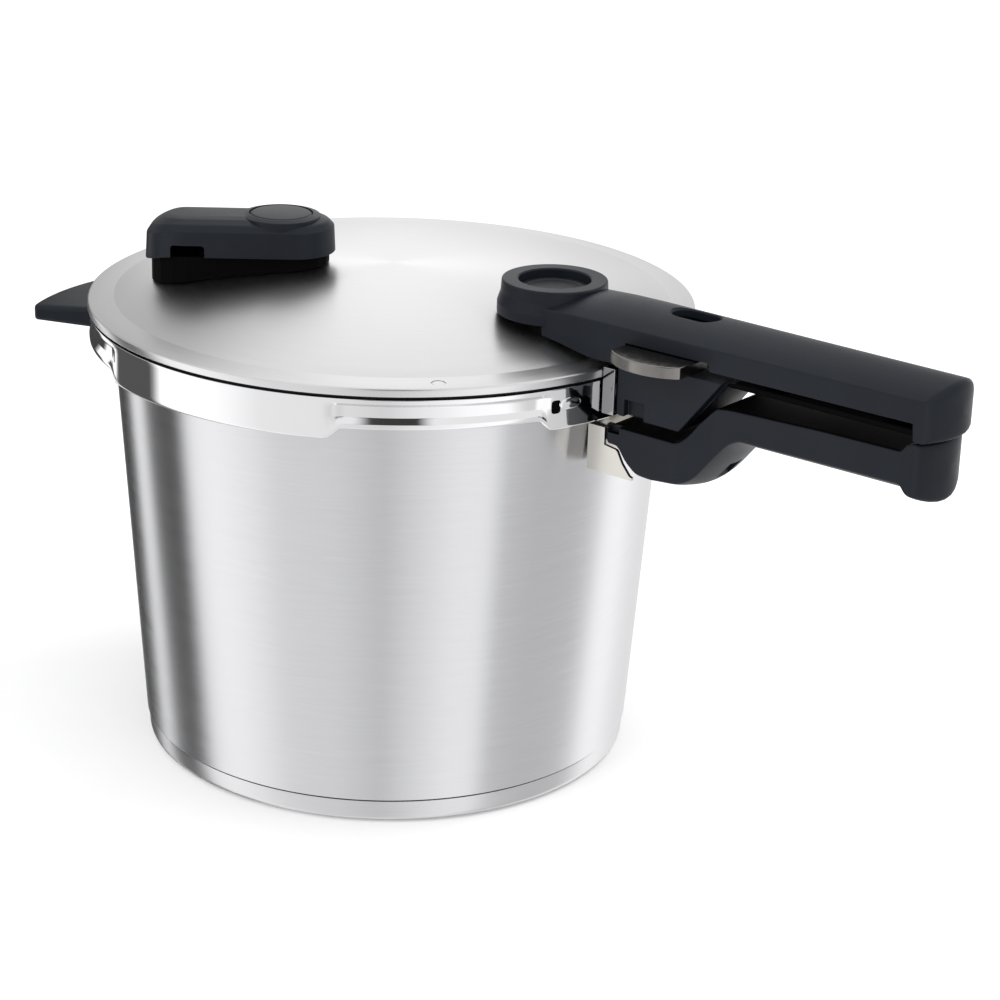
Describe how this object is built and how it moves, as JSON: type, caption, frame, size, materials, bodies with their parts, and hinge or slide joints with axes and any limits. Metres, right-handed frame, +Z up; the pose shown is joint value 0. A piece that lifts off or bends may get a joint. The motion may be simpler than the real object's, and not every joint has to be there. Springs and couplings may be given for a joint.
{
  "type": "stovetop pressure cooker",
  "caption": "Tapered steel pot with capsule base, bayonet lid with polished skirt, paired long handles, side grip, pressure indicator, slide lock and steam release housing.",
  "frame": {"origin": "centre of the base, on the surface that the pot stands on", "axes": "+Z up, +X along the long handles, side grip towards -X"},
  "size_m": [0.4413, 0.244, 0.2198],
  "materials": {
    "brushed_steel": "fine circumferential brushing",
    "polished_steel": "mirror polished",
    "aluminium_core": "plain",
    "black_plastic": "finely grained, matte",
    "gunmetal": "dark satin plating",
    "silicone": "soft matte",
    "fitting_steel": "turned",
    "fastener_steel": "plain",
    "spring_steel": "drawn wire",
    "green_flag": "matte"
  },
  "bodies": {
    "pot": {"pot_body": "brushed_steel", "base_core": "aluminium_core", "base_cap": "brushed_steel", "pot_handle_bracket": "brushed_steel", "pot_handle": "black_plastic", "pot_handle_screw": "fastener_steel", "side_handle_bracket": "brushed_steel", "side_handle": "black_plastic", "side_handle_screw_left": "fastener_steel", "side_handle_screw_right": "fastener_steel"},
    "lid": {"lid_shell": "brushed_steel", "lid_gasket": "silicone", "lid_handle_bracket": "polished_steel", "lid_handle_top": "black_plastic", "lid_handle_base": "black_plastic", "lid_handle_front_screw": "fastener_steel", "lid_handle_rear_screw": "fastener_steel", "control_valve_body": "fitting_steel", "control_valve_nut": "fastener_steel", "control_valve_seal": "silicone", "steam_housing": "black_plastic", "steam_housing_base": "black_plastic", "steam_housing_nut": "fastener_steel", "steam_valve_seat": "fitting_steel", "steam_valve_seal": "silicone", "float_valve_bush": "fitting_steel", "float_valve_seal": "silicone"},
    "lock_slide": {"lock_button": "gunmetal", "lock_bolt": "fitting_steel", "lock_indicator": "green_flag", "lock_spring": "spring_steel"},
    "pressure_indicator": {"indicator_cap": "black_plastic", "indicator_stem": "fitting_steel", "indicator_spring": "spring_steel"},
    "steam_button": {"release_button": "black_plastic", "release_stem": "fitting_steel", "release_poppet": "silicone", "release_spring": "spring_steel"},
    "float": {"float_pin": "fitting_steel", "float_clip": "fastener_steel"}
  },
  "joints": [
    {"name": "lid_turn", "type": "hinge", "parent": "pot", "child": "lid", "pos_m": [0, 0, 0.1824], "axis": [0, 0, 1], "range_deg": [0, 41]},
    {"name": "lock_slide_x", "type": "slide", "parent": "lid", "child": "lock_slide", "axis": [1, 0, 0], "range_m": [0, 0.005], "stiffness_N_per_m": 400, "springref_m": -0.002, "deforming": ["lock_spring"]},
    {"name": "indicator_rise", "type": "slide", "parent": "lid", "child": "pressure_indicator", "axis": [0, 0, 1], "range_m": [0, 0.004], "stiffness_N_per_m": 300, "springref_m": -0.001, "deforming": ["indicator_spring"]},
    {"name": "steam_press", "type": "slide", "parent": "lid", "child": "steam_button", "axis": [0, 0, -1], "range_m": [0, 0.003], "stiffness_N_per_m": 500, "springref_m": -0.001, "deforming": ["release_spring"]},
    {"name": "float_rise", "type": "slide", "parent": "lid", "child": "float", "axis": [0, 0, 1], "range_m": [0, 0.003]}
  ]
}
